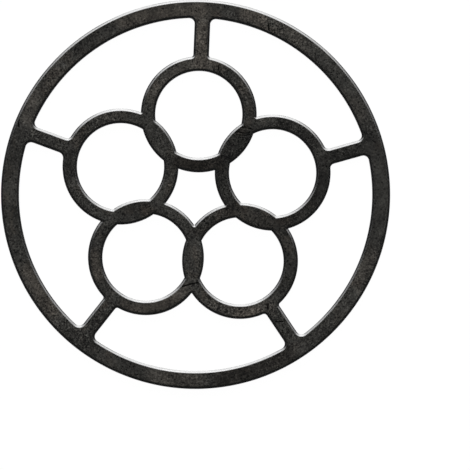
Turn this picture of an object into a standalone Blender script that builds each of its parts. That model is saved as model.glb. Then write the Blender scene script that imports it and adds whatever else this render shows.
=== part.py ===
# Gas hob reducer ring: one flat cast plate, cut through by eleven openings.
# A round rim carries five spokes, and each spoke carries a small ring.
# The small rings cross their neighbours, and their bands run together where they cross.
# The plate lies on its underside, with the middle of the underside at the origin,
# and its first spoke points along +Y.

import math

import bmesh
import bpy
import numpy as np
from mathutils.geometry import delaunay_2d_cdt

# Driving dimensions, in metres.
OUTER_DIAMETER = 0.142
PLATE_THICKNESS = 0.0035
RIM_WIDTH = 0.00655
SPOKE_LENGTH = 0.0141        # from a small ring's outermost point to the rim
SPOKE_WIDTH = 0.0057
RING_COUNT = 5               # small rings, and as many spokes
BAND_WIDTH = 0.00525         # of a small ring, from its bore to its outside
BORE_GAP = 0.00255           # between the bore circles of neighbouring small rings
RIM_FILLET = 0.002           # inside corners between a spoke and the rim
RING_FILLET = 0.0009         # inside corners between a spoke and its small ring
CHAMFER_WIDTH = 0.0008       # of the top edges, across the face
CHAMFER_DEPTH = 0.0005       # of the top edges, down the wall
UNDER_BREAK = 0.0004         # of the bottom edges, at 45 degrees

# Facets of each round stretch.
RIM_FACETS = 160             # the outside of the rim
RIM_ARC_FACETS = 14          # the inside of the rim, over half an opening
RING_ARC_FACETS = 18         # a small ring's outside, from its spoke to a neighbour
CENTRE_ARC_FACETS = 8        # a small ring's outside, towards the middle
BORE_OUTER_FACETS = 40       # a bore, on its spoke's side
BORE_INNER_FACETS = 12       # a bore, towards the middle
BITE_FACETS = 8              # a neighbour's band, where it shows in a bore
RIM_FILLET_FACETS = 6
RING_FILLET_FACETS = 4
SHARP_ANGLE = math.radians(25)
MERGE_DISTANCE = 1e-8        # far below the shortest facet

# What follows from them.
STEP = 2 * math.pi / RING_COUNT
HALF_STEP = STEP / 2
RIM_RADIUS = OUTER_DIAMETER / 2
RIM_INNER_RADIUS = RIM_RADIUS - RIM_WIDTH
RINGS_REACH = RIM_INNER_RADIUS - SPOKE_LENGTH
RING_OVERLAP = 2 * BAND_WIDTH - BORE_GAP
RING_RADIUS = (RING_OVERLAP / 2 + RINGS_REACH * math.sin(HALF_STEP)) / (1 + math.sin(HALF_STEP))
BORE_RADIUS = RING_RADIUS - BAND_WIDTH
RING_CENTRE = RINGS_REACH - RING_RADIUS                      # from the middle of the plate
NEIGHBOUR_DISTANCE = 2 * RING_CENTRE * math.sin(HALF_STEP)
NEIGHBOUR_DIRECTION = math.pi / 2 + HALF_STEP                # from the spoke's own direction
FIRST_SPOKE = 1j                                             # along +Y

# Each outline is a closed list of plan points, written as x + yj.
# Every edge of the metal can be drawn in by an inset, and an outline has the same
# number of points at any inset, so the outlines of a chamfer's two edges match.


def arc(centre, radius, start, end, facets):
    # The end point is left out, because the next stretch begins there.
    if start == end:
        return []
    angles = np.linspace(start, end, facets, endpoint=False)
    return list(centre + radius * np.exp(1j * angles))


def half_angle_inside(radius, other_radius, distance):
    # Half of the angle over which a circle runs inside another one.
    cosine = (distance**2 + radius**2 - other_radius**2) / (2 * distance * radius)
    return math.acos(min(1.0, cosine))


def rim_outline(inset):
    return arc(0, RIM_RADIUS - inset, 0, 2 * math.pi, RIM_FACETS)


def centre_outline(inset):
    # The opening in the middle, between the outsides of all the small rings.
    ring = RING_RADIUS - inset
    crossing = NEIGHBOUR_DIRECTION + half_angle_inside(ring, ring, NEIGHBOUR_DISTANCE)
    side = arc(RING_CENTRE, ring, 2 * math.pi - crossing, crossing, CENTRE_ARC_FACETS)
    return [point * np.exp(1j * STEP * k) for k in range(RING_COUNT) for point in side]


def bore_outline(inset):
    # A small ring's bore, with the bands of its two neighbours showing in it.
    ring = RING_RADIUS - inset
    bore = BORE_RADIUS + inset
    own = half_angle_inside(bore, ring, NEIGHBOUR_DISTANCE)
    other = half_angle_inside(ring, bore, NEIGHBOUR_DISTANCE)
    before = NEIGHBOUR_DIRECTION - own
    after = NEIGHBOUR_DIRECTION + own
    left = RING_CENTRE + NEIGHBOUR_DISTANCE * np.exp(1j * NEIGHBOUR_DIRECTION)
    right = left.conjugate()
    facing_left = math.pi + NEIGHBOUR_DIRECTION
    facing_right = math.pi - NEIGHBOUR_DIRECTION
    return (
        arc(RING_CENTRE, bore, -before, before, BORE_OUTER_FACETS)
        + arc(left, ring, facing_left + other, facing_left - other, BITE_FACETS)
        + arc(RING_CENTRE, bore, after, 2 * math.pi - after, BORE_INNER_FACETS)
        + arc(right, ring, facing_right + other, facing_right - other, BITE_FACETS)
    )


def gap_outline(inset):
    # The opening between two spokes. One half runs from the notch between the
    # small rings, along one ring and its spoke, to the middle of the rim's arc.
    ring = RING_RADIUS - inset
    rim = RIM_INNER_RADIUS + inset
    notch = NEIGHBOUR_DIRECTION - half_angle_inside(ring, ring, NEIGHBOUR_DISTANCE)

    corner = SPOKE_WIDTH / 2 + RING_FILLET
    tangent = math.asin(corner / (RING_RADIUS + RING_FILLET))
    inner_x = RING_CENTRE + math.sqrt((RING_RADIUS + RING_FILLET) ** 2 - corner**2)
    inner_fillet = inner_x + 1j * corner

    corner = SPOKE_WIDTH / 2 + RIM_FILLET
    outer_fillet = math.sqrt((RIM_INNER_RADIUS - RIM_FILLET) ** 2 - corner**2) + 1j * corner
    rim_tangent = np.angle(outer_fillet)

    down = -math.pi / 2
    half = arc(RING_CENTRE, ring, notch, tangent, RING_ARC_FACETS)
    half += arc(inner_fillet, RING_FILLET + inset, tangent - math.pi, down, RING_FILLET_FACETS)
    half += [inner_fillet - 1j * (RING_FILLET + inset)]
    half += arc(outer_fillet, RIM_FILLET + inset, down, rim_tangent, RIM_FILLET_FACETS)
    half += arc(0, rim, rim_tangent, HALF_STEP, RIM_ARC_FACETS)
    half += [rim * np.exp(1j * HALF_STEP)]

    mirrored = [point.conjugate() * np.exp(1j * STEP) for point in reversed(half[1:-1])]
    return half + mirrored


def outlines(inset):
    # The rim's outside comes first, then every opening.
    loops = [rim_outline(inset), centre_outline(inset)]
    for k in range(RING_COUNT):
        turn = np.exp(1j * STEP * k)
        loops.append([point * turn for point in bore_outline(inset)])
        loops.append([point * turn for point in gap_outline(inset)])
    return [[point * FIRST_SPOKE for point in loop] for loop in loops]


def add_face(bm, loops):
    # A flat face over the metal: what lies in the rim's outline and in no opening.
    corners = [vertex for loop in loops for vertex in loop]
    places = {vertex: number for number, vertex in enumerate(corners)}
    outline_numbers = [[places[vertex] for vertex in loop] for loop in loops]
    plan = [vertex.co.xy for vertex in corners]
    inside = 1
    result = delaunay_2d_cdt(plan, [], outline_numbers, inside, MERGE_DISTANCE, True)
    triangles, sources, containing = result[2], result[3], result[5]
    for triangle, around in zip(triangles, containing):
        if around == [0]:
            bm.faces.new([corners[sources[number][0]] for number in triangle])


def build_plate():
    section = [
        (0.0, UNDER_BREAK),
        (UNDER_BREAK, 0.0),
        (PLATE_THICKNESS - CHAMFER_DEPTH, 0.0),
        (PLATE_THICKNESS, CHAMFER_WIDTH),
    ]
    bm = bmesh.new()
    levels = []
    for height, inset in section:
        level = []
        for loop in outlines(inset):
            level.append([bm.verts.new((point.real, point.imag, height)) for point in loop])
        levels.append(level)
    for lower, upper in zip(levels, levels[1:]):
        for low, high in zip(lower, upper):
            for i in range(len(low)):
                bm.faces.new((low[i - 1], low[i], high[i], high[i - 1]))
    add_face(bm, levels[0])
    add_face(bm, levels[-1])
    bmesh.ops.recalc_face_normals(bm, faces=bm.faces)

    mesh = bpy.data.meshes.new("reducer_ring")
    bm.to_mesh(mesh)
    bm.free()
    mesh.shade_smooth()
    mesh.set_sharp_from_angle(angle=SHARP_ANGLE)
    return mesh


def cast_iron():
    material = bpy.data.materials.new("cast_iron")
    material.use_nodes = True
    shader = material.node_tree.nodes["Principled BSDF"]
    shader.inputs["Base Color"].default_value = (0.031, 0.029, 0.027, 1.0)
    shader.inputs["Metallic"].default_value = 0.3
    shader.inputs["Roughness"].default_value = 0.6
    return material


def main():
    for existing in list(bpy.data.objects):
        bpy.data.objects.remove(existing)
    mesh = build_plate()
    mesh.materials.append(cast_iron())
    plate = bpy.data.objects.new("reducer_ring", mesh)
    bpy.context.scene.collection.objects.link(plate)


main()
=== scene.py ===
import math

import bpy
import numpy as np
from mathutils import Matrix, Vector, kdtree, noise
from mathutils.geometry import delaunay_2d_cdt


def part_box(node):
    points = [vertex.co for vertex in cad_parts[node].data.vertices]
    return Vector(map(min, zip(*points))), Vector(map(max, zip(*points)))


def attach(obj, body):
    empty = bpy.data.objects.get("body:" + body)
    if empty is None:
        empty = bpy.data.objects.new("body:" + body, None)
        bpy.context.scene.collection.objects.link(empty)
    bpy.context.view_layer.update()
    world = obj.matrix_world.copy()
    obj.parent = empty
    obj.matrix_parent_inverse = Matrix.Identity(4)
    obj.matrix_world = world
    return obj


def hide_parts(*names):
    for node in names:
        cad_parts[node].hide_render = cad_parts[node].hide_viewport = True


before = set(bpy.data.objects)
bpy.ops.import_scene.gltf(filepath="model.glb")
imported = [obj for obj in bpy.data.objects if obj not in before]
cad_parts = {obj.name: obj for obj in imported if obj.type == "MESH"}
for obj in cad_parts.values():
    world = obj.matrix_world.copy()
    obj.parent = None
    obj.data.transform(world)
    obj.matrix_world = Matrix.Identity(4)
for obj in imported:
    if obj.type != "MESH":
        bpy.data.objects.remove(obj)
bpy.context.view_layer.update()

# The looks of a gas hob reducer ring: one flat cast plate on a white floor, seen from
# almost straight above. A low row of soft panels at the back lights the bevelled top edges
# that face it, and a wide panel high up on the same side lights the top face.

mm = 0.001
plateLow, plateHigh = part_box("reducer_ring")


view = {
    "photoPixels": 470,               # the picture is square
    "pixel": 0.3646 * mm,             # what one pixel covers on the plate
    "plateMiddle": (195.55, 194.25),  # pixels from the top left of the picture
    "lean": math.radians(2.29),       # of the first spoke, clockwise from straight up
    "tilt": math.radians(1.2),        # towards the picture's lower edge
    "distance": 3.0,                  # metres
    "sensor": 36.0,                   # millimetres
}


def addCamera():
    width = view["photoPixels"] * view["pixel"]
    half = view["photoPixels"] / 2
    across = (half - view["plateMiddle"][0]) * view["pixel"]
    up = (view["plateMiddle"][1] - half) * view["pixel"]
    aim = complex(across, up) * np.exp(1j * view["lean"])
    data = bpy.data.cameras.new("camera")
    data.sensor_width = view["sensor"]
    data.lens = view["sensor"] * view["distance"] / width
    camera = bpy.data.objects.new("camera", data)
    low = -1j * np.exp(1j * view["lean"]) * view["distance"] * math.sin(view["tilt"])
    height = view["distance"] * math.cos(view["tilt"])
    camera.location = (aim.real + low.real, aim.imag + low.imag, plateHigh.z + height)
    camera.rotation_euler = (view["tilt"], 0, view["lean"])
    bpy.context.scene.collection.objects.link(camera)
    bpy.context.scene.camera = camera
    bpy.context.scene.view_settings.view_transform = "Standard"


addCamera()
print("camera: almost straight down, lens", round(bpy.context.scene.camera.data.lens, 1), "mm")


studio = {
    "distance": 4.3,                  # metres, of every panel from the plate
    "backTop": 47.0,                  # degrees above the floor
    "backBottom": 2.0,                # the same, of the middle panel
    "backBottomRise": 65.0,           # how much higher one square to the side would begin
    "backPanels": 7,
    "backStep": 18.0,                 # degrees from one panel to the next
    "backRadiance": 5.2,              # of the middle one
    "backFalloff": 2.5,               # the others fade with the cosine to this power
    "topElevation": 66.0,             # degrees above the floor
    "topSize": 2.6,                   # metres
    "topRadiance": 2.6,
    "surround": 0.03,                 # plain grey of the room
}

floor = {
    "flatRadius": 4.6,                # metres, like the next two
    "wallRadius": 5.0,
    "wallHeight": 0.45,
    "bendRows": 8,
    "segments": 96,
    "gap": 0.02 * mm,                 # under the plate
    "grey": 0.9,
    "ownGlow": 0.97,                  # share of the backdrop's white that is its own
    "glowStrength": 1.02,
}


def aimAtPlate(item, azimuth, elevation, distance):
    back = Vector((
        math.cos(azimuth) * math.cos(elevation),
        math.sin(azimuth) * math.cos(elevation),
        math.sin(elevation),
    ))
    item.location = back * distance
    item.rotation_euler = back.to_track_quat("Z", "Y").to_euler()


def addPanel(name, azimuth, elevation, width, height, radiance):
    data = bpy.data.lights.new(name, "AREA")
    data.shape = "RECTANGLE"
    data.size = width
    data.size_y = height
    data.energy = radiance * math.pi * width * height
    panel = bpy.data.objects.new(name, data)
    panel.visible_camera = False
    aimAtPlate(panel, azimuth, elevation, studio["distance"])
    bpy.context.scene.collection.objects.link(panel)


def addLights():
    straightBack = math.pi / 2 + view["lean"]
    reach = studio["distance"]
    halfStep = math.radians(studio["backStep"]) / 2
    half = studio["backPanels"] // 2
    for number in range(-half, half + 1):
        turn = 2 * halfStep * number
        bottom = studio["backBottom"] + studio["backBottomRise"] * (1 - math.cos(turn))
        elevation = math.radians(bottom + studio["backTop"]) / 2
        height = 2 * reach * math.tan(math.radians(studio["backTop"] - bottom) / 2)
        width = 2 * reach * math.cos(elevation) * math.tan(halfStep)
        radiance = studio["backRadiance"] * math.cos(turn) ** studio["backFalloff"]
        name = "backPanel%d" % (number + half + 1)
        addPanel(name, straightBack + turn, elevation, width, height, radiance)
    addPanel(
        "topPanel", straightBack, math.radians(studio["topElevation"]),
        studio["topSize"], studio["topSize"], studio["topRadiance"],
    )
    world = bpy.data.worlds.new("room")
    world.use_nodes = True
    background = world.node_tree.nodes["Background"]
    grey = studio["surround"]
    background.inputs["Color"].default_value = (grey, grey, grey, 1)
    bpy.context.scene.world = world


def connect(tree, source, target):
    # A plain number or colour is set on the socket, and an output is linked to it.
    if isinstance(source, bpy.types.NodeSocket):
        tree.links.new(source, target)
    else:
        target.default_value = source


def calculate(tree, operation, *values):
    node = tree.nodes.new("ShaderNodeMath")
    node.operation = operation
    for value, socket in zip(values, node.inputs):
        connect(tree, value, socket)
    return node.outputs[0]


def floorMaterial():
    # What the camera and mirror-like surfaces see is mostly the backdrop's own white,
    # and the rest takes the light and the plate's shadow.
    material = bpy.data.materials.new("paleFloor")
    material.use_nodes = True
    tree = material.node_tree
    tree.nodes.clear()
    output = tree.nodes.new("ShaderNodeOutputMaterial")
    mix = tree.nodes.new("ShaderNodeMixShader")
    matt = tree.nodes.new("ShaderNodeBsdfDiffuse")
    glow = tree.nodes.new("ShaderNodeEmission")
    path = tree.nodes.new("ShaderNodeLightPath").outputs
    grey = floor["grey"]
    matt.inputs["Color"].default_value = (grey, grey, grey, 1)
    glow.inputs["Strength"].default_value = floor["glowStrength"]
    seen = calculate(tree, "MAXIMUM", path["Is Camera Ray"], path["Is Glossy Ray"])
    seen = calculate(tree, "MAXIMUM", seen, path["Is Transmission Ray"])
    share = calculate(tree, "MULTIPLY", seen, floor["ownGlow"])
    connect(tree, share, mix.inputs[0])
    connect(tree, matt.outputs[0], mix.inputs[1])
    connect(tree, glow.outputs[0], mix.inputs[2])
    connect(tree, mix.outputs[0], output.inputs["Surface"])
    return material


def addFloor():
    # A round floor that turns up into a low wall, so that a level view ends in white.
    level = plateLow.z - floor["gap"]
    bend = floor["wallRadius"] - floor["flatRadius"]
    profile = [(floor["flatRadius"], level)]
    for turn in np.linspace(0, math.pi / 2, floor["bendRows"] + 1)[1:]:
        profile.append((
            floor["flatRadius"] + bend * math.sin(turn),
            level + bend * (1 - math.cos(turn)),
        ))
    profile.append((floor["wallRadius"], level + floor["wallHeight"]))
    count = floor["segments"]
    points = [(0, 0, level)]
    for radius, height in profile:
        for turn in np.linspace(0, 2 * math.pi, count, endpoint=False):
            points.append((radius * math.cos(turn), radius * math.sin(turn), height))
    faces = [(0, 1 + k, 1 + (k + 1) % count) for k in range(count)]
    for row in range(len(profile) - 1):
        inner = 1 + row * count
        outer = inner + count
        for k in range(count):
            after = (k + 1) % count
            faces.append((inner + k, outer + k, outer + after, inner + after))
    mesh = bpy.data.meshes.new("floor")
    mesh.from_pydata(points, [], faces)
    mesh.shade_smooth()
    mesh.materials.append(floorMaterial())
    item = bpy.data.objects.new("floor", mesh)
    bpy.context.scene.collection.objects.link(item)


addLights()
addFloor()
print("studio: panels, room and floor")


plate = {
    "rimWidth": 6.55 * mm,
    "spokeLength": 14.1 * mm,         # from a small ring's outermost point to the rim
    "spokeWidth": 5.7 * mm,
    "ringCount": 5,
    "bandWidth": 5.25 * mm,           # of a small ring
    "boreGap": 2.55 * mm,             # between the bore circles of neighbouring rings
    "rimFillet": 2.0 * mm,
    "rimFilletFacets": 7,
    "notchFillet": 0.1 * mm,          # where the outsides of neighbouring rings meet
    "notchFacets": 4,                 # over half of it
    # Between a spoke and its ring, in millimetres, on its clockwise side and on the other,
    # for each spoke anticlockwise. The casting's own vary a little.
    "ringFillets": [(0.9, 0.9), (1.5, 2.3), (0.9, 0.9), (1.2, 0.8), (1.7, 1.7)],
    "ringFilletFacets": 5,
    "bevelWidth": 0.80 * mm,          # of the top edges
    "bevelDepth": 0.50 * mm,
    "bevelKneeAcross": 0.45,          # the bevel is a little rounded: it rises faster
    "bevelKneeUp": 0.54,              # up to here, as shares of its width and depth
    "underRadius": 0.4 * mm,          # of the bottom edges
    "underRows": 5,
    "arris": 0.07 * mm,               # how far the rounding at the top face reaches
    "footArris": 0.03 * mm,           # the same where the bevel meets the wall
    "arrisRows": 3,
    "holdWidth": 0.14 * mm,           # a narrow strip that keeps the faces beside it flat
    "edgeStep": 0.8 * mm,             # mesh along the edges
    "fewestFacets": 4,                # of a stretch of an edge
    "wallStep": 0.5 * mm,             # mesh down the walls
    "faceStep": 0.5 * mm,             # mesh over the top face
    "faceRoom": 1 / 2,                # free of it along the edge, as a share of the step
    "faceSeed": 11,
    "underStep": 1.4 * mm,            # mesh over the underside
    "underRoom": 1 / 3,
    "underSeed": 5,
    "meshShake": 0.2,                 # of both, as a share of the step
    # Unevenness of the casting: how far, over what length, and the noise's seed.
    "wallWaver": (0.02 * mm, 4.0 * mm, 3),
    "faceDip": (0.05 * mm, 7.0 * mm, 17),
    "faceGrain": (0.012 * mm, 1.3 * mm, 29),
    "markDepth": 0.2 * mm,            # of the dark marks
    "markStep": 0.12 * mm,            # mesh along them
    "markRows": (-1, -0.5, 0, 0.5, 1),    # mesh across them, in half widths
    "markClear": 0.6,                 # room round that mesh, as a share of faceStep
    "markFrom": 0.1,                  # start of the marks' near-black finish, partly painted shade, from 0 at the edge to 1
}

# Narrow dark marks of the casting, each a groove through these places in the top face, in a
# near-black finish that is partly their own dark and partly painted shade in the groove: x, y and
# the groove's width there, in millimetres.
marks = {
    "bottom crossing": [
        (-3.7, -33.9, 0.6), (-2.05, -33.35, 0.6), (-0.55, -32.85, 0.55),
        (0.3, -32.57, 0.5), (1.3, -32.35, 0.5), (2.2, -32.15, 0.35),
    ],
    "first crossing, upper": [(15.1, 24.7, 0.15), (17.0, 25.1, 0.25), (20.0, 24.3, 0.2)],
    "first crossing, middle": [(14.7, 23.1, 0.15), (17.3, 22.9, 0.3), (20.0, 23.3, 0.2)],
    "first crossing, lower": [(14.9, 22.1, 0.15), (17.4, 22.1, 0.2), (19.6, 22.6, 0.2)],
    "third ring": [(28.0, -38.7, 0.5), (28.0, -40.4, 0.8), (28.0, -41.0, 0.4)],
    "third spoke": [(30.9, -45.4, 0.35), (32.6, -45.2, 0.5), (33.9, -45.1, 0.35)],
    "first ring": [(6.3, 47.6, 0.3), (6.5, 46.3, 0.5), (6.5, 45.4, 0.35)],
    "rim, right of top": [
        (24.1, 63.4, 0.35), (24.2, 62.0, 0.6), (24.3, 60.8, 0.8), (24.4, 59.8, 0.7),
    ],
    "rim, right of that": [(33.6, 56.5, 0.25), (34.5, 57.0, 0.25)],
    "rim, above the fifth spoke": [(-65.4, 24.7, 0.4), (-65.6, 23.5, 0.8), (-65.3, 21.9, 0.5)],
}

# Each finish's number in the plate's list of materials; the last is the marks' finish with painted
# shade.
onTop, onBevel, onWall, inMarkShade = range(4)

step = 2 * math.pi / plate["ringCount"]
halfStep = step / 2
firstSpoke = 1j                       # along +Y
thickness = plateHigh.z - plateLow.z
rimRadius = (plateHigh.x - plateLow.x) / 2
rimInnerRadius = rimRadius - plate["rimWidth"]
ringsReach = rimInnerRadius - plate["spokeLength"]
ringOverlap = 2 * plate["bandWidth"] - plate["boreGap"]
sineHalf = math.sin(halfStep)
ringRadius = (ringOverlap / 2 + ringsReach * sineHalf) / (1 + sineHalf)
boreRadius = ringRadius - plate["bandWidth"]
ringCentre = ringsReach - ringRadius
neighbourDistance = 2 * ringCentre * sineHalf
neighbourDirection = math.pi / 2 + halfStep
# The fillet of a notch touches both rings this far round from the other ring's direction,
# and its centre lies this far from the line between the two rings' centres.
notchReach = ringRadius + plate["notchFillet"]
notchTurn = math.acos(neighbourDistance / 2 / notchReach)
notchHeight = notchReach * math.sin(notchTurn)


def halfAngleInside(radius, otherRadius, distance):
    # Half of the angle over which a circle runs inside another one.
    cosine = (distance**2 + radius**2 - otherRadius**2) / (2 * distance * radius)
    return math.acos(min(1.0, cosine))


def arc(centre, radius, start, end, facets):
    # The end point is left out, because the next stretch begins there.
    angles = np.linspace(start, end, facets, endpoint=False)
    return list(centre + radius * np.exp(1j * angles))


def facetsFor(length):
    return max(plate["fewestFacets"], round(length / plate["edgeStep"]))


# Each outline is a closed list of plan points, x + yj, drawn in from the metal's edge
# by an inset. It has the same number of points at any inset.


def rimOutline(inset):
    facets = facetsFor(2 * math.pi * rimRadius)
    return arc(0, rimRadius - inset, 0, 2 * math.pi, facets)


def centreOutline(inset):
    # Along one ring, and then round the notch before the next.
    crossing = neighbourDirection + notchTurn
    facets = facetsFor(2 * (math.pi - crossing) * ringRadius)
    side = arc(ringCentre, ringRadius - inset, 2 * math.pi - crossing, crossing, facets)
    notch = (ringCentre * math.cos(halfStep) - notchHeight) * np.exp(1j * halfStep)
    start = np.angle(ringCentre - notch)
    radius = plate["notchFillet"] + inset
    side += arc(notch, radius, start, step - start, 2 * plate["notchFacets"])
    turns = [np.exp(1j * step * k) for k in range(plate["ringCount"])]
    return [point * turn for turn in turns for point in side]


def boreOutline(inset):
    ring = ringRadius - inset
    bore = boreRadius + inset
    own = halfAngleInside(bore, ring, neighbourDistance)
    other = halfAngleInside(ring, bore, neighbourDistance)
    before = neighbourDirection - own
    after = neighbourDirection + own
    left = ringCentre + neighbourDistance * np.exp(1j * neighbourDirection)
    right = left.conjugate()
    facingLeft = math.pi + neighbourDirection
    facingRight = math.pi - neighbourDirection
    plainOwn = halfAngleInside(boreRadius, ringRadius, neighbourDistance)
    plainOther = halfAngleInside(ringRadius, boreRadius, neighbourDistance)
    outerFacets = facetsFor(2 * (neighbourDirection - plainOwn) * boreRadius)
    innerFacets = facetsFor(2 * (math.pi - neighbourDirection - plainOwn) * boreRadius)
    biteFacets = facetsFor(2 * plainOther * ringRadius)
    return (
        arc(ringCentre, bore, -before, before, outerFacets)
        + arc(left, ring, facingLeft + other, facingLeft - other, biteFacets)
        + arc(ringCentre, bore, after, 2 * math.pi - after, innerFacets)
        + arc(right, ring, facingRight + other, facingRight - other, biteFacets)
    )


def gapHalf(inset, ringFillet):
    # From the notch between two small rings, along one ring and its spoke, to the
    # middle of the rim's arc.
    ring = ringRadius - inset
    rim = rimInnerRadius + inset
    crossing = neighbourDirection - notchTurn
    notch = (ringCentre * math.cos(halfStep) + notchHeight) * np.exp(1j * halfStep)

    corner = plate["spokeWidth"] / 2 + ringFillet
    tangent = math.asin(corner / (ringRadius + ringFillet))
    innerX = ringCentre + math.sqrt((ringRadius + ringFillet) ** 2 - corner**2)
    inner = innerX + 1j * corner

    rimFillet = plate["rimFillet"]
    corner = plate["spokeWidth"] / 2 + rimFillet
    outer = math.sqrt((rimInnerRadius - rimFillet) ** 2 - corner**2) + 1j * corner
    rimTangent = np.angle(outer)

    down = -math.pi / 2
    ringFacets = facetsFor((crossing - tangent) * ringRadius)
    spokeStart = inner - 1j * (ringFillet + inset)
    spokeEnd = outer - 1j * (rimFillet + inset)
    spokeFacets = facetsFor(outer.real - inner.real)
    rimFacets = facetsFor((halfStep - rimTangent) * rimInnerRadius)
    half = arc(
        notch, plate["notchFillet"] + inset, halfStep - math.pi,
        np.angle(ringCentre - notch), plate["notchFacets"],
    )
    half += arc(ringCentre, ring, crossing, tangent, ringFacets)
    half += arc(
        inner, ringFillet + inset, tangent - math.pi, down, plate["ringFilletFacets"],
    )
    half += list(np.linspace(spokeStart, spokeEnd, spokeFacets, endpoint=False))
    half += arc(outer, rimFillet + inset, down, rimTangent, plate["rimFilletFacets"])
    half += arc(0, rim, rimTangent, halfStep, rimFacets)
    half += [rim * np.exp(1j * halfStep)]
    return half


def gapOutline(inset, number):
    # The opening after the spoke of this number, anticlockwise.
    fillets = plate["ringFillets"]
    here = fillets[number][1] * mm
    there = fillets[(number + 1) % plate["ringCount"]][0] * mm
    back = [point.conjugate() * np.exp(1j * step) for point in gapHalf(inset, there)[1:-1]]
    return gapHalf(inset, here) + back[::-1]


def outlines(inset):
    # The rim's outside comes first, then every opening, each as an array.
    loops = [rimOutline(inset), centreOutline(inset)]
    for k in range(plate["ringCount"]):
        turn = np.exp(1j * step * k)
        loops.append([point * turn for point in boreOutline(inset)])
        loops.append([point * turn for point in gapOutline(inset, k)])
    return [np.array(loop) * firstSpoke for loop in loops]


def depthInMetal(points):
    # How far plan points lie inside the rim, a small ring or a spoke, whichever is
    # deepest. It is below zero in the openings.
    plain = points / firstSpoke
    radius = abs(plain)
    depth = np.minimum(rimRadius - radius, radius - rimInnerRadius)
    for k in range(plate["ringCount"]):
        turned = plain * np.exp(-1j * step * k)
        around = abs(turned - ringCentre)
        depth = np.maximum(depth, np.minimum(ringRadius - around, around - boreRadius))
        across = plate["spokeWidth"] / 2 - abs(turned.imag)
        start = turned.real - (ringCentre + boreRadius)
        end = rimRadius - turned.real
        depth = np.maximum(depth, np.minimum(across, np.minimum(start, end)))
    return depth


def roundedCorner(before, corner, after, reach, rows):
    # A small rounding in the section, from reach before the corner to reach after it.
    before, corner, after = (np.array(place, float) for place in (before, corner, after))
    start = corner + reach * (before - corner) / np.linalg.norm(before - corner)
    end = corner + reach * (after - corner) / np.linalg.norm(after - corner)
    shares = np.linspace(0, 1, rows)
    return [tuple((1 - s) ** 2 * start + 2 * s * (1 - s) * corner + s**2 * end) for s in shares]


def sectionRows():
    # (inset, height, finish of the strip above it) from the underside up to the top face.
    under = plate["underRadius"]
    width = plate["bevelWidth"]
    depth = plate["bevelDepth"]
    arris = plate["arris"]
    footArris = plate["footArris"]
    arrisRows = plate["arrisRows"]
    foot = (0, thickness - depth)
    knee = (width * plate["bevelKneeAcross"], foot[1] + depth * plate["bevelKneeUp"])
    brow = (width, thickness)
    inward = (2 * width, thickness)
    wallRows = round((foot[1] - footArris - under) / plate["wallStep"])
    heights = np.linspace(under, foot[1] - footArris, wallRows + 1)
    low = roundedCorner((1, 0), (0, 0), (0, 1), under, plate["underRows"])
    bend = roundedCorner((0, 0), foot, knee, footArris, arrisRows)
    bend += roundedCorner(foot, knee, brow, arris, arrisRows)
    bend += roundedCorner(knee, brow, inward, arris, arrisRows)
    rows = [(under + plate["holdWidth"], 0, onWall)]
    rows += [(*place, onWall) for place in low]
    rows += [(0, height, onWall) for height in heights[1:-1]]
    rows += [(*place, onBevel) for place in bend[:-1]]
    rows += [(*bend[-1], onTop)]
    rows += [(width + arris + plate["holdWidth"], thickness, onTop)]
    return rows


def unevenness(x, y, z, length, seed):
    # From 0 to 1, smooth over the given length.
    return 0.5 + 0.5 * noise.noise(Vector((x / length + seed, y / length, z / length)))


def markLine(places):
    # Points along a mark's middle, three or more, and half its width at each.
    places = np.array(places) * mm
    stops = places[:, 0] + 1j * places[:, 1]
    lengths = np.concatenate([[0], np.cumsum(abs(np.diff(stops)))])
    count = max(3, round(lengths[-1] / plate["markStep"]))
    along = np.linspace(0, lengths[-1], count)
    return np.interp(along, lengths, stops), np.interp(along, lengths, places[:, 2]) / 2


def markPoints(side):
    # Points along every mark, shifted sideways by a share of its half width.
    rows = []
    for places in marks.values():
        middle, half = markLine(places)
        forward = np.gradient(middle)
        rows.append(middle + 1j * side * half * forward / abs(forward))
    return np.concatenate(rows)


def markStrength(points):
    # From 0 at every mark's edge to 1 on its middle.
    strength = np.zeros(len(points))
    for places in marks.values():
        middle, half = markLine(places)
        away = abs(points[:, None] - middle[None, :]) / half[None, :]
        strength = np.maximum(strength, 1 - away.min(axis=1))
    return strength


def fillPoints(spacing, margin, seed):
    # Points over the whole metal in a slightly shaken triangular grid.
    random = np.random.default_rng(seed)
    rowHeight = spacing * math.sqrt(3) / 2
    count = math.ceil(rimRadius / rowHeight)
    places = []
    for row in range(-count, count + 1):
        start = -rimRadius + (row % 2) * spacing / 2
        places.append(np.arange(start, rimRadius, spacing) + 1j * row * rowHeight)
    places = np.concatenate(places)
    most = plate["meshShake"]
    across, along = (random.uniform(-most, most, len(places)) for _ in range(2))
    places = places + (across + 1j * along) * spacing
    return places[depthInMetal(places) > margin]


def clearOf(places, others, distance):
    # The places that keep this distance from all the others.
    tree = kdtree.KDTree(len(others))
    for number, other in enumerate(others):
        tree.insert((other.real, other.imag, 0), number)
    tree.balance()
    gaps = [tree.find((place.real, place.imag, 0))[2] for place in places]
    return places[np.array(gaps) > distance]


def triangulate(loops, loopNumbers, extra, extraNumbers):
    # Triangles over the metal, inside the rim's outline and in no opening.
    plan = [(p.real, p.imag) for loop in loops for p in loop]
    plan += [(p.real, p.imag) for p in extra]
    numbers = [number for loop in loopNumbers for number in loop] + list(extraNumbers)
    faces = []
    start = 0
    for loop in loops:
        faces.append(list(range(start, start + len(loop))))
        start += len(loop)
    inside = 1
    mergeDistance = 1e-9
    result = delaunay_2d_cdt([Vector(p) for p in plan], [], faces, inside, mergeDistance, True)
    triangles, sources, containing = result[2], result[3], result[5]
    made = []
    for triangle, around in zip(triangles, containing):
        if around == [0]:
            made.append([numbers[sources[corner][0]] for corner in triangle])
    return made


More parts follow.
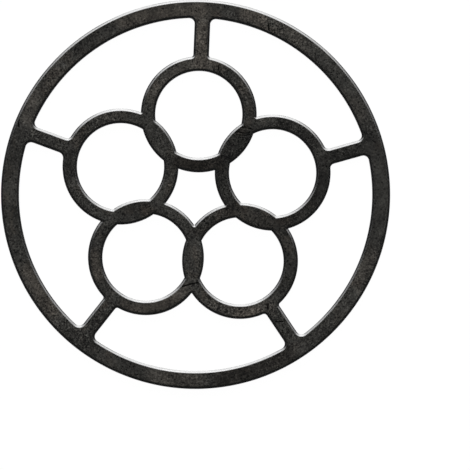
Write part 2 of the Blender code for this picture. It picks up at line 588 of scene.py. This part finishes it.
def sideLevels(rows, points):
    # Adds the points of every outline at each row, and returns their numbers.
    nudge = 1e-6                      # shows which way a point of an outline moves inwards
    reach, length, seed = plate["wallWaver"]
    levels = []
    for inset, height, _ in rows:
        level = []
        for loop, moved in zip(outlines(inset), outlines(inset + nudge)):
            inwards = (moved - loop) / nudge
            start = len(points)
            for place, direction in zip(loop, inwards):
                waver = unevenness(place.real, place.imag, height, length, seed)
                # The rim only gives way inwards, and keeps its full size.
                waver -= 0.5 if level else 0.0
                place = place + direction * waver * reach
                points.append([place.real, place.imag, height])
            level.append(range(start, start + len(loop)))
        levels.append(level)
    return levels


def sideFaces(rows, levels):
    # The strips from each row up to the next, and the finish of each face.
    faces = []
    finishes = []
    for row, lower, upper in zip(rows, levels, levels[1:]):
        for index, (low, high) in enumerate(zip(lower, upper)):
            for i in range(len(low)):
                face = [low[i - 1], low[i], high[i], high[i - 1]]
                # The rim faces away from the middle, and an opening towards its own.
                faces.append(face if index == 0 else face[::-1])
                finishes.append(row[2])
    return faces, finishes


def flatFaces(level, height, spread, points):
    # Fills a level's outlines with triangles through the spread, which joins the points.
    loops = [[complex(*points[n][:2]) for n in loop] for loop in level]
    start = len(points)
    points += [[p.real, p.imag, height] for p in spread]
    return triangulate(loops, level, spread, range(start, start + len(spread)))


def underFaces(inset, level, points):
    margin = inset + plate["holdWidth"] + plate["underRoom"] * plate["underStep"]
    spread = fillPoints(plate["underStep"], margin, plate["underSeed"])
    return [triangle[::-1] for triangle in flatFaces(level, 0, spread, points)]


def topFaces(inset, level, points):
    margin = inset + plate["faceRoom"] * plate["faceStep"]
    spread = fillPoints(plate["faceStep"], margin, plate["faceSeed"])
    lines = np.concatenate([markPoints(side) for side in plate["markRows"]])
    lines = lines[depthInMetal(lines) > inset + plate["markStep"]]
    spread = clearOf(spread, lines, plate["markClear"] * plate["faceStep"])
    return flatFaces(level, thickness, np.concatenate([spread, lines]), points)


def shapeTopFace(points):
    # Lowers the top face and the bevel in shallow dips and grain, and the marks deeper.
    foot = thickness - plate["bevelDepth"]
    dip, dipLength, dipSeed = plate["faceDip"]
    grain, grainLength, grainSeed = plate["faceGrain"]
    strength = markStrength(np.array([complex(*point[:2]) for point in points]))
    for point, line in zip(points, strength):
        x, y, z = point
        if z <= foot:
            continue
        share = (z - foot) / (thickness - foot)
        fall = dip * unevenness(x, y, 0, dipLength, dipSeed)
        fall += grain * unevenness(x, y, 0, grainLength, grainSeed)
        point[2] = z - share * fall - max(0.0, line) * plate["markDepth"]


def buildPlate():
    rows = sectionRows()
    points = []
    levels = sideLevels(rows, points)
    faces, finishes = sideFaces(rows, levels)
    bottom = underFaces(rows[0][0], levels[0], points)
    top = topFaces(rows[-1][0], levels[-1], points)
    plan = np.array([complex(*point[:2]) for point in points])
    # Faces near a mark's middle get its near-black finish, partly painted shade of the groove's
    # depth.
    dark = markStrength(plan[np.array(top)].mean(axis=1)) > plate["markFrom"]
    finishes += [onWall] * len(bottom)
    finishes += [inMarkShade if isDark else onTop for isDark in dark]
    shapeTopFace(points)

    mesh = bpy.data.meshes.new("castPlate")
    mesh.from_pydata(points, [], faces + bottom + top)
    mesh.polygons.foreach_set("material_index", finishes)
    mesh.shade_smooth()
    mesh.validate()
    return mesh


plateMesh = buildPlate()
print("plate mesh:", len(plateMesh.vertices), "points")


# How much lighter than the rest the skin looks, as a share, how warm it is, from 0 to 1,
# and what is added to its grain's strength.
skinTones = {
    "sooty": -0.34, "dark": -0.23, "dull": -0.11, "even": 0.0,
    "pale": 0.11, "light": 0.21, "bright": 0.31,
}
skinTints = {"grey": 0.0, "brownish": 0.35, "brown": 0.65, "rusty": 1.0}
skinGrains = {"smooth": -0.4, "soft": -0.2, "rough": 0.2, "coarse": 0.38}

# Where it is lighter, darker or warmer over a wide place: the place, its two ends and
# radius in millimetres, the tone and the tint.
skinPlaces = [
    ("first spoke", (0, 60), (0, 48), 7, "bright", "brown"),
    ("first ring, left", (-5, 46), (-17, 35), 6, "light", "brownish"),
    ("first spoke, top", (1.7, 59), (1.7, 57), 3, "dark", "grey"),
    ("first ring, low", (-6, 11), (7, 11), 5, "sooty", "brown"),
    ("first ring, low left", (-4, 11), (2, 10.5), 4, "even", "rusty"),
    ("first ring, upper right", (5, 48), (8, 46.8), 3.5, "even", "brown"),
    ("first ring, lowest", (-1, 9.5), (1, 9.5), 3, "dark", "grey"),
    ("first ring, low right", (9, 10), (11, 10.5), 3.5, "light", "grey"),
    ("first crossing", (17, 22), (11, 15), 7, "sooty", "grey"),
    ("first crossing, above", (16, 28), (18, 27), 4, "pale", "grey"),
    ("second ring, left", (9, 8), (13, -2), 5, "dark", "grey"),
    ("second ring, top", (32, 27), (41, 20), 5, "dark", "grey"),
    ("second ring, right", (46, 10), (34, -9), 7, "dark", "grey"),
    ("second spoke", (50, 16), (64, 22), 6, "dull", "grey"),
    ("second spoke, inner end", (51.5, 15.5), (54, 16), 4, "dark", "grey"),
    ("second crossing", (15, -6), (28, -10), 5, "dull", "brownish"),
    ("second crossing, left", (11.5, -5.5), (14, -6.8), 3.5, "pale", "brown"),
    ("second crossing, right", (31.5, -8), (33, -7.8), 3.5, "even", "rusty"),
    ("third ring, top", (2, -13), (13, -5), 4, "dark", "grey"),
    ("third ring, right", (35, -13), (35, -34), 5, "dull", "grey"),
    ("third ring, upper right", (37, -18), (37, -20.5), 4, "light", "grey"),
    ("third ring, low left", (8, -40), (15.5, -43.5), 4, "light", "brownish"),
    ("third ring, low", (18, -43), (24, -42), 5, "bright", "brown"),
    ("third ring, lowest", (20.5, -43.5), (22.5, -43.3), 3.5, "light", "brownish"),
    ("third ring, spoke", (26, -39), (28.5, -40), 4, "light", "brownish"),
    ("third spoke root", (40, -56), (42, -58), 5, "bright", "grey"),
    ("middle", (-3, -9.5), (-3, -11.5), 4, "light", "grey"),
    ("bottom crossing, left", (-6, -37.5), (-2.5, -35), 4, "bright", "brownish"),
    ("fourth ring, right", (-6.5, -40), (-4.5, -39.4), 3.5, "dark", "grey"),
    ("bottom crossing, above", (-2.2, -31.6), (-0.8, -31.2), 3, "light", "grey"),
    ("fourth ring, low right", (-18, -43), (-6, -39), 5, "pale", "brown"),
    ("fourth ring, low", (-24, -41.5), (-20, -43.5), 4, "pale", "brown"),
    ("fourth ring, left", (-36, -24), (-35, -31), 5, "pale", "brown"),
    ("fourth crossing", (-26, -8), (-20, -6), 5, "dark", "grey"),
    ("fourth crossing, right", (-21.5, -9.5), (-19, -9), 4, "light", "grey"),
    ("fourth crossing, upper right", (-18, -6.5), (-15.5, -8), 3.5, "even", "rusty"),
    ("fourth spoke root", (-45, -51), (-37, -54), 6, "dull", "grey"),
    ("fifth ring, left", (-47, 15), (-46, 4), 5, "dull", "grey"),
    ("fifth ring, top", (-34, 28), (-28, 28), 4, "pale", "brownish"),
    ("rim, top", (-1, 67), (-20, 64), 6, "pale", "brown"),
    ("rim, by the first spoke", (-9, 66), (-6, 64), 4, "light", "grey"),
    ("rim, left of the first spoke", (-22, 66.5), (-20, 64.5), 4, "dark", "grey"),
    ("rim, left of top", (-28, 62), (-22, 65), 5, "light", "brown"),
    ("rim, far left of top", (-43, 52), (-37, 57), 6, "dull", "grey"),
    ("rim, upper left", (-46, 46), (-44, 48.5), 4, "light", "grey"),
    ("rim, left", (-62, 26), (-60, 33), 5, "light", "brownish"),
    ("rim, low left", (-59, -30), (-51, -44), 6, "pale", "brown"),
    ("rim, low left, inner side", (-56, -34), (-54, -37), 4, "light", "grey"),
    ("rim, by the fourth spoke", (-49, -50), (-47, -52), 5, "light", "grey"),
    ("rim, bottom left", (-10.5, -68.5), (-8.5, -69), 4, "light", "grey"),
    ("rim, bottom", (-12, -67), (2, -68), 6, "light", "brownish"),
    ("rim, bottom, outer side", (0, -69.5), (2, -69.5), 3.5, "dark", "grey"),
    ("rim, low right", (13, -67), (36, -58), 6, "dark", "brownish"),
    ("rim, right, low", (57.5, -39), (60.5, -34), 5, "light", "grey"),
    ("rim, right", (64, -20), (62, -28), 6, "pale", "brownish"),
    ("rim, upper right", (55.5, 35), (58, 32), 5, "pale", "brownish"),
    ("rim, right of top", (29, 62), (35, 58), 6, "pale", "brownish"),
    ("rim, right of top, inner side", (21, 61.5), (26, 60), 3.5, "even", "brown"),
    ("rim, far right of top", (43, 54), (46.5, 51), 5, "light", "grey"),
    ("rim, just right of top", (16, 66.5), (21, 65), 5, "bright", "brown"),
]

# Where its grain is stronger or weaker than elsewhere, in the same way.
grainPlaces = [
    ("first spoke", (0, 59), (0, 42), 7, "coarse"),
    ("first ring, right", (7, 44), (15, 38), 5, "rough"),
    ("first ring, low", (-6, 11), (7, 11), 5, "smooth"),
    ("second ring, right", (47, 13), (46, 2), 6, "smooth"),
    ("second crossing", (16, -5), (29, -10), 6, "smooth"),
    ("third ring, right", (36, -16), (36.5, -29), 6, "smooth"),
    ("third ring, low", (9, -41), (26, -41), 6, "coarse"),
    ("third spoke", (29, -41), (36, -50), 6, "rough"),
    ("fourth ring, low", (-22, -42), (-12, -42), 5, "soft"),
    ("fourth spoke", (-28, -39), (-36, -50), 6, "coarse"),
    ("fourth spoke root", (-41, -54), (-50, -46), 7, "coarse"),
    ("fifth ring, upper left", (-42, 19), (-34, 25), 6, "rough"),
    ("fifth spoke", (-46, 15), (-60, 20), 6, "coarse"),
    ("rim, left of top", (-7, 67), (-34, 59), 7, "soft"),
    ("rim, left", (-60, 33), (-52, 43), 7, "rough"),
    ("rim, low left", (-68, 5), (-66, -16), 8, "soft"),
    ("rim, bottom", (-26, -62), (-16, -66), 7, "soft"),
    ("rim, right of bottom", (4, -67.5), (11, -67), 7, "soft"),
    ("rim, right", (67, -8), (65, 18), 8, "smooth"),
    ("rim, upper right", (59, 34), (51, 44), 6, "soft"),
    ("rim, right of top", (18, 65), (38, 56), 7, "coarse"),
]


wear = {
    "edgeReach": 0.7 * mm,            # in from the bevel, over which the skin is darker
    "placeRise": 1.2,                 # above 1, a place has its full strength sooner
}


def placeStrength(points, start, end, radius):
    # From 0 at the radius round a stretch to 1 along its middle, with a soft edge.
    start = complex(*start) * mm
    end = complex(*end) * mm
    along = np.clip(((points - start) / (end - start)).real, 0, 1)
    away = abs(points - start - (end - start) * along) / (radius * mm)
    share = np.clip(wear["placeRise"] * (1 - away), 0, 1)
    return share * share * (3 - 2 * share)


def attributeValues(mesh):
    # Values at each point for the finishes: how near the top face's edge it is, and the
    # wide lighter, darker, warmer, rougher and smoother places of the skin.
    coordinates = np.zeros(len(mesh.vertices) * 3)
    mesh.vertices.foreach_get("co", coordinates)
    plan = coordinates[0::3] + 1j * coordinates[1::3]
    depth = depthInMetal(plan) - plate["bevelWidth"]
    tone = np.zeros(len(plan))
    warm = np.zeros(len(plan))
    for _, start, end, radius, placeTone, placeTint in skinPlaces:
        share = placeStrength(plan, start, end, radius)
        tone += share * skinTones[placeTone]
        warm = np.maximum(warm, share * skinTints[placeTint])
    grain = np.zeros(len(plan))
    for _, start, end, radius, placeGrain in grainPlaces:
        grain += placeStrength(plan, start, end, radius) * skinGrains[placeGrain]
    values = {
        "edgeNear": np.clip(1 - depth / wear["edgeReach"], 0, 1),
        "tonePlaces": tone,
        "warmPlaces": warm,
        "grainPlaces": grain,
    }
    for name, numbers in values.items():
        layer = mesh.attributes.new(name, "FLOAT", "POINT")
        layer.data.foreach_set("value", numbers.astype(np.float32))


attributeValues(plateMesh)


def newGroup(name, inputs, outputs):
    # inputs and outputs: (name, kind, value to start from)
    group = bpy.data.node_groups.new(name, "ShaderNodeTree")
    for label, kind, value in inputs:
        socket = group.interface.new_socket(label, in_out="INPUT", socket_type=kind)
        if value is not None:
            socket.default_value = value
    for label, kind in outputs:
        group.interface.new_socket(label, in_out="OUTPUT", socket_type=kind)
    entry = group.nodes.new("NodeGroupInput")
    result = group.nodes.new("NodeGroupOutput")
    return group, entry, result


def remap(tree, value, fromLow, fromHigh, toLow, toHigh):
    node = tree.nodes.new("ShaderNodeMapRange")
    values = (value, fromLow, fromHigh, toLow, toHigh)
    for number, socket in zip(values, node.inputs):
        connect(tree, number, socket)
    return node.outputs[0]


def blend(tree, share, first, second, kind="MIX"):
    node = tree.nodes.new("ShaderNodeMix")
    node.data_type = "RGBA"
    node.blend_type = kind
    connect(tree, share, node.inputs[0])
    connect(tree, first, node.inputs[6])
    connect(tree, second, node.inputs[7])
    return node.outputs[2]


def cloud(tree, vector, scale, detail=2.0, roughness=0.5, distortion=0.0):
    node = tree.nodes.new("ShaderNodeTexNoise")
    values = {
        "Vector": vector, "Scale": scale, "Detail": detail,
        "Roughness": roughness, "Distortion": distortion,
    }
    for label, value in values.items():
        connect(tree, value, node.inputs[label])
    return node.outputs[0]


noiseSpan = (0.3, 0.7)                # what the noises mostly keep within

sandCast = {
    "grain": (3.0, 0.65, 0.8),        # the noise's detail, roughness and distortion
    "cloud": (3.0, 0.55, 0.4),
    "spreadScale": 400.0,             # of the noise that says where there are pits
    "pitsFrom": (0.38, 0.54),         # of it, from no pits to whole ones
    "pitWall": (0.12, 0.32),          # of a cell, from a pit's floor to the skin
    "cloudHeight": 0.6,               # against the grain's height
}


def centred(tree, value):
    # A noise as -0.5 to 0.5.
    return remap(tree, value, *noiseSpan, -0.5, 0.5)


def castGrainGroup():
    # The sand-cast skin: fine grain, clouds a few millimetres wide and small pits.
    group, entry, result = newGroup(
        "castGrain",
        [
            ("Vector", "NodeSocketVector", None),
            ("Grain Scale", "NodeSocketFloat", 1500.0),
            ("Cloud Scale", "NodeSocketFloat", 170.0),
            ("Pit Scale", "NodeSocketFloat", 900.0),
        ],
        [
            ("Grain", "NodeSocketFloat"),
            ("Cloud", "NodeSocketFloat"),
            ("Pits", "NodeSocketFloat"),
            ("Height", "NodeSocketFloat"),
        ],
    )
    vector = entry.outputs["Vector"]
    grain = cloud(group, vector, entry.outputs["Grain Scale"], *sandCast["grain"])
    wide = cloud(group, vector, entry.outputs["Cloud Scale"], *sandCast["cloud"])
    cells = group.nodes.new("ShaderNodeTexVoronoi")
    connect(group, vector, cells.inputs["Vector"])
    connect(group, entry.outputs["Pit Scale"], cells.inputs["Scale"])
    spread = cloud(group, vector, sandCast["spreadScale"])
    near = remap(group, cells.outputs["Distance"], *sandCast["pitWall"], 1.0, 0.0)
    some = remap(group, spread, *sandCast["pitsFrom"], 0.0, 1.0)
    pits = calculate(group, "MULTIPLY", near, some)
    raised = calculate(group, "MULTIPLY_ADD", wide, sandCast["cloudHeight"], grain)
    height = calculate(group, "SUBTRACT", raised, pits)
    connect(group, grain, result.inputs["Grain"])
    connect(group, wide, result.inputs["Cloud"])
    connect(group, pits, result.inputs["Pits"])
    connect(group, height, result.inputs["Height"])
    return group


tint = {
    "patch": (3.0, 0.6, 0.8),         # the noise's detail, roughness and distortion
    "warmFrom": (0.52, 0.7),          # of that noise, where it turns warm
    "warmest": 0.85,
    "darkest": 0.15,
    "eyeCurve": 2.2,                  # from how light it looks to the light it returns
}


def skinTintGroup():
    # The colour of black iron: a cool and a warm grey in wide patches. The tone is the
    # share by which it looks lighter, or darker below zero.
    group, entry, result = newGroup(
        "skinTint",
        [
            ("Vector", "NodeSocketVector", None),
            ("Cool", "NodeSocketColor", (0.02, 0.02, 0.02, 1)),
            ("Warm", "NodeSocketColor", (0.03, 0.026, 0.022, 1)),
            ("Patch Scale", "NodeSocketFloat", 90.0),
            ("More Warmth", "NodeSocketFloat", 0.0),
            ("Tone", "NodeSocketFloat", 0.0),
        ],
        [("Color", "NodeSocketColor")],
    )
    vector = entry.outputs["Vector"]
    patches = cloud(group, vector, entry.outputs["Patch Scale"], *tint["patch"])
    warmth = remap(group, patches, *tint["warmFrom"], 0.0, tint["warmest"])
    warmth = calculate(group, "MAXIMUM", warmth, entry.outputs["More Warmth"])
    base = blend(group, warmth, entry.outputs["Cool"], entry.outputs["Warm"])
    seen = calculate(group, "ADD", 1.0, entry.outputs["Tone"])
    seen = calculate(group, "MAXIMUM", seen, tint["darkest"])
    brightness = calculate(group, "POWER", seen, tint["eyeCurve"])
    tone = group.nodes.new("ShaderNodeCombineXYZ")
    for socket in tone.inputs:
        connect(group, brightness, socket)
    colour = blend(group, 1.0, base, tone.outputs[0], "MULTIPLY")
    connect(group, colour, result.inputs["Color"])
    return group


castGrain = castGrainGroup()
skinTint = skinTintGroup()


def newFinish(name):
    material = bpy.data.materials.new(name)
    material.use_nodes = True
    return material, material.node_tree, material.node_tree.nodes["Principled BSDF"]


def useGroup(tree, group, **values):
    # An underscore in a value's name stands for the space in the socket's.
    node = tree.nodes.new("ShaderNodeGroup")
    node.node_tree = group
    for label, value in values.items():
        connect(tree, value, node.inputs[label.replace("_", " ")])
    return node.outputs


def attribute(tree, name):
    node = tree.nodes.new("ShaderNodeAttribute")
    node.attribute_name = name
    return node.outputs["Fac"]


def objectCoordinates(tree):
    return tree.nodes.new("ShaderNodeTexCoord").outputs["Object"]


def bump(tree, height, strength, distance):
    node = tree.nodes.new("ShaderNodeBump")
    node.inputs["Strength"].default_value = strength
    node.inputs["Distance"].default_value = distance
    connect(tree, height, node.inputs["Height"])
    return node.outputs[0]


def ironColour(tree, vector, look, tone, warmth=0.0):
    colour = useGroup(
        tree, skinTint, Vector=vector, Cool=look["cool"], Warm=look["warm"],
        Patch_Scale=look["patchScale"], More_Warmth=warmth, Tone=tone,
    )
    return colour["Color"]


def castSurface(tree, shader, grain, look):
    # Roughness that changes with the clouds, and bumps.
    rough = remap(tree, grain["Cloud"], *noiseSpan, *look["roughness"])
    connect(tree, rough, shader.inputs["Roughness"])
    normal = bump(tree, grain["Height"], look["bumpStrength"], look["bumpHeight"])
    connect(tree, normal, shader.inputs["Normal"])


skin = {
    "cool": (0.0277, 0.0269, 0.0245, 1),
    "warm": (0.0340, 0.0293, 0.0244, 1),
    "patchScale": 90.0,
    "grainTone": 1.38,                # tones, from the darkest to the lightest grain
    "cloudTone": 0.46,
    "edgeTone": -0.11,
    "pitTone": -1.0,
    "roughPlaceScale": 60.0,
    "roughPlaceFrom": (0.35, 0.65),   # of that noise, from the weakest grain to the strongest
    "roughPlaces": (0.7, 1.2),        # the grain's strength there
    "roughness": (0.62, 0.8),
    "specular": 0.12,
    "bumpStrength": 0.6,
    "bumpHeight": 0.06 * mm,
}


def topSkinFinish():
    material, tree, shader = newFinish("castSkin")
    vector = objectCoordinates(tree)
    grain = useGroup(tree, castGrain, Vector=vector)
    places = cloud(tree, vector, skin["roughPlaceScale"])
    strength = remap(tree, places, *skin["roughPlaceFrom"], *skin["roughPlaces"])
    strength = calculate(tree, "ADD", strength, attribute(tree, "grainPlaces"))
    fine = calculate(tree, "MULTIPLY", centred(tree, grain["Grain"]), strength)
    tone = attribute(tree, "tonePlaces")
    for mask, share in (
        (fine, skin["grainTone"]),
        (centred(tree, grain["Cloud"]), skin["cloudTone"]),
        (attribute(tree, "edgeNear"), skin["edgeTone"]),
        (grain["Pits"], skin["pitTone"]),
    ):
        tone = calculate(tree, "MULTIPLY_ADD", mask, share, tone)
    colour = ironColour(tree, vector, skin, tone, attribute(tree, "warmPlaces"))
    connect(tree, colour, shader.inputs["Base Color"])
    shader.inputs["Specular IOR Level"].default_value = skin["specular"]
    castSurface(tree, shader, grain, skin)
    return material


bevel = {
    "cool": (0.007, 0.007, 0.007, 1),
    "warm": (0.009, 0.008, 0.007, 1),
    "patchScale": 120.0,
    "grainScale": 1100.0,
    "grainTone": 0.16,
    "roughness": (0.21, 0.25),
    "ior": 2.4,                       # of black iron oxide
    "bumpStrength": 0.1,
    "bumpHeight": 0.012 * mm,
}


def bevelFinish():
    material, tree, shader = newFinish("rubbedBevel")
    vector = objectCoordinates(tree)
    grain = useGroup(tree, castGrain, Vector=vector, Grain_Scale=bevel["grainScale"])
    tone = calculate(tree, "MULTIPLY", centred(tree, grain["Grain"]), bevel["grainTone"])
    connect(tree, ironColour(tree, vector, bevel, tone), shader.inputs["Base Color"])
    shader.inputs["IOR"].default_value = bevel["ior"]
    castSurface(tree, shader, grain, bevel)
    return material


wall = {
    "cool": (0.016, 0.016, 0.0155, 1),
    "warm": (0.021, 0.0185, 0.0165, 1),
    "patchScale": 110.0,
    "grainScale": 1200.0,
    "pitScale": 700.0,
    "grainTone": 0.25,
    "roughness": (0.6, 0.82),
    "specular": 0.35,
    "bumpStrength": 0.8,
    "bumpHeight": 0.08 * mm,
}


def wallFinish():
    material, tree, shader = newFinish("castWall")
    vector = objectCoordinates(tree)
    grain = useGroup(
        tree, castGrain, Vector=vector, Grain_Scale=wall["grainScale"], Pit_Scale=wall["pitScale"],
    )
    tone = calculate(tree, "MULTIPLY", centred(tree, grain["Grain"]), wall["grainTone"])
    connect(tree, ironColour(tree, vector, wall, tone), shader.inputs["Base Color"])
    shader.inputs["Specular IOR Level"].default_value = wall["specular"]
    castSurface(tree, shader, grain, wall)
    return material


# The marks' near-black, matt colours: partly their own dark, partly painted shade of the groove's
# depth.
groove = {
    "cool": (0.004, 0.004, 0.0038, 1),
    "warm": (0.006, 0.005, 0.0042, 1),
    "patchScale": 300.0,
    "grainTone": 0.25,
    "roughness": 0.95,
    "specular": 0.05,
}


# A near-black finish with almost no shine, partly painted shade in the grooves.
def markShadeFinish():
    material, tree, shader = newFinish("darkMarkShade")
    vector = objectCoordinates(tree)
    grain = useGroup(tree, castGrain, Vector=vector)
    tone = calculate(tree, "MULTIPLY", centred(tree, grain["Grain"]), groove["grainTone"])
    connect(tree, ironColour(tree, vector, groove, tone), shader.inputs["Base Color"])
    shader.inputs["Roughness"].default_value = groove["roughness"]
    shader.inputs["Specular IOR Level"].default_value = groove["specular"]
    return material


# In the order of the finishes' numbers.
for finish in (topSkinFinish(), bevelFinish(), wallFinish(), markShadeFinish()):
    plateMesh.materials.append(finish)
castPlate = bpy.data.objects.new("castPlate", plateMesh)
bpy.context.scene.collection.objects.link(castPlate)
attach(castPlate, "root")
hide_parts("reducer_ring")
print("finishes: skin, bevel, walls and marks")
